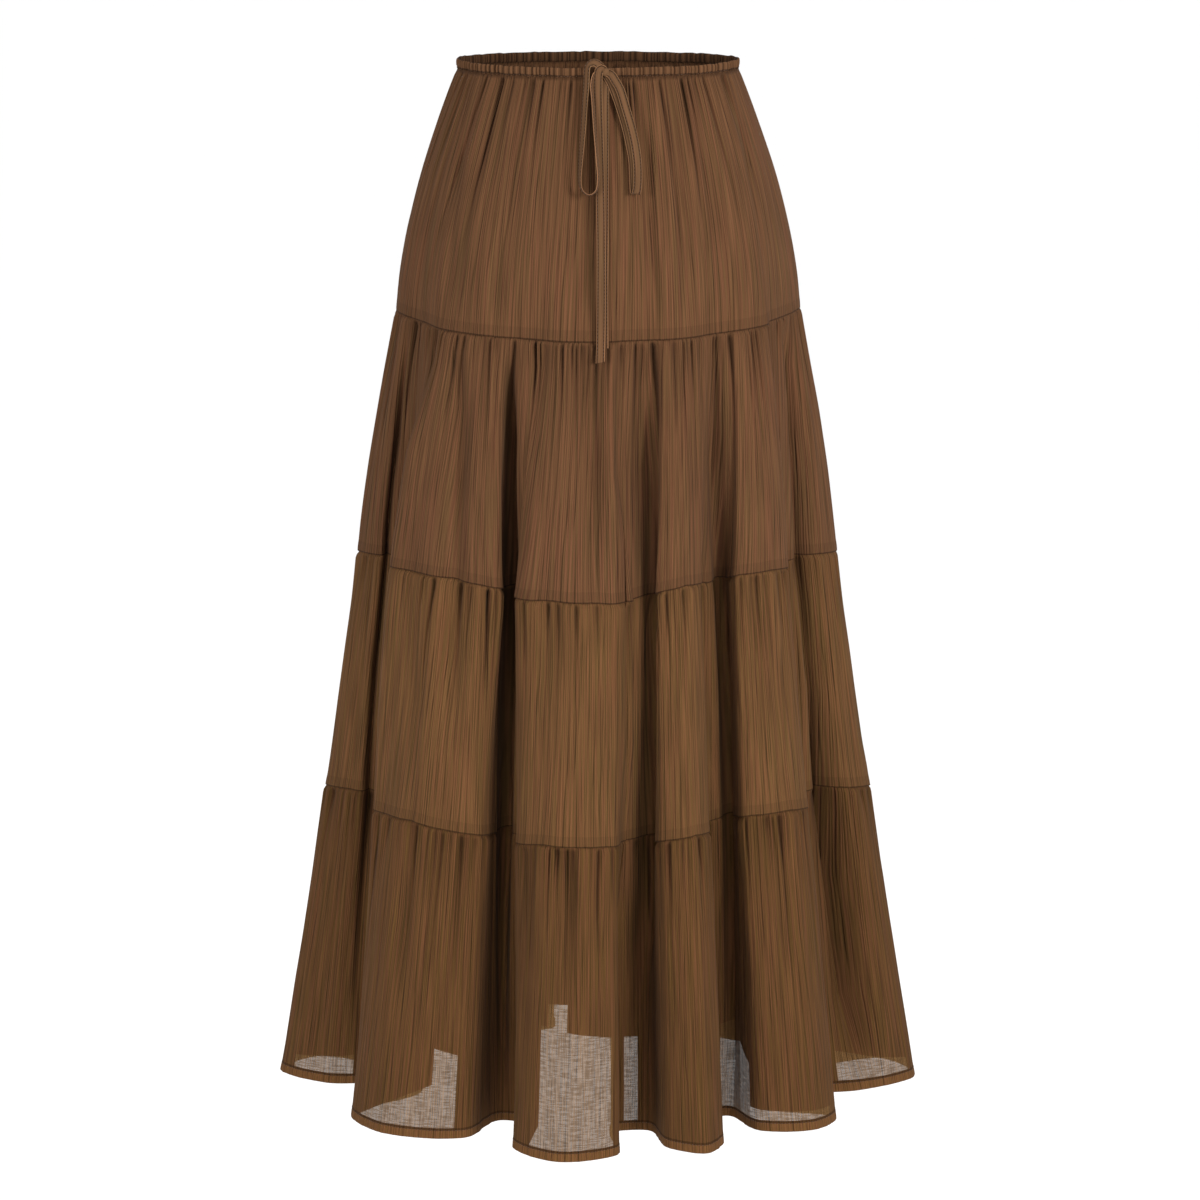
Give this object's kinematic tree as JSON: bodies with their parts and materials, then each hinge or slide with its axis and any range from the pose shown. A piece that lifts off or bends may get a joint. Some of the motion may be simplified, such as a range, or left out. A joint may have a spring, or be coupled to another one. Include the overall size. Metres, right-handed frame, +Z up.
{
  "type": "tiered ruffle skirt",
  "caption": "Long skirt of gathered gauze tiers on a narrow elastic waist casing tied in a bow, hollow and open at waist and hem.",
  "frame": {"origin": "middle of the waist opening at the top of the casing, where the waist holds the skirt", "axes": "+Z up, front of the skirt towards -Y, +X to the right of someone who looks at the front"},
  "size_m": [0.5692, 0.505, 0.909],
  "materials": {
    "crinkle_gauze": "coffee-brown crinkled cotton gauze, matt, slightly see-through",
    "casing_gauze": "the same gauze, puckered over elastic",
    "tie_tape": "flat edge-stitched tape of the same gauze",
    "sewing_thread": "dark brown cotton thread"
  },
  "bodies": {
    "root": {"casing_front": "casing_gauze", "casing_back": "casing_gauze", "tier_1_front": "crinkle_gauze", "tier_1_back": "crinkle_gauze", "tier_2_front": "crinkle_gauze", "tier_2_back": "crinkle_gauze", "tier_3_front": "crinkle_gauze", "tier_3_back": "crinkle_gauze", "tier_4_front": "crinkle_gauze", "tier_4_back": "crinkle_gauze", "tie_knot": "tie_tape", "tie_loop_left": "tie_tape", "tie_loop_right": "tie_tape", "tie_tail_front": "tie_tape", "tie_tail_back": "tie_tape"}
  },
  "joints": []
}
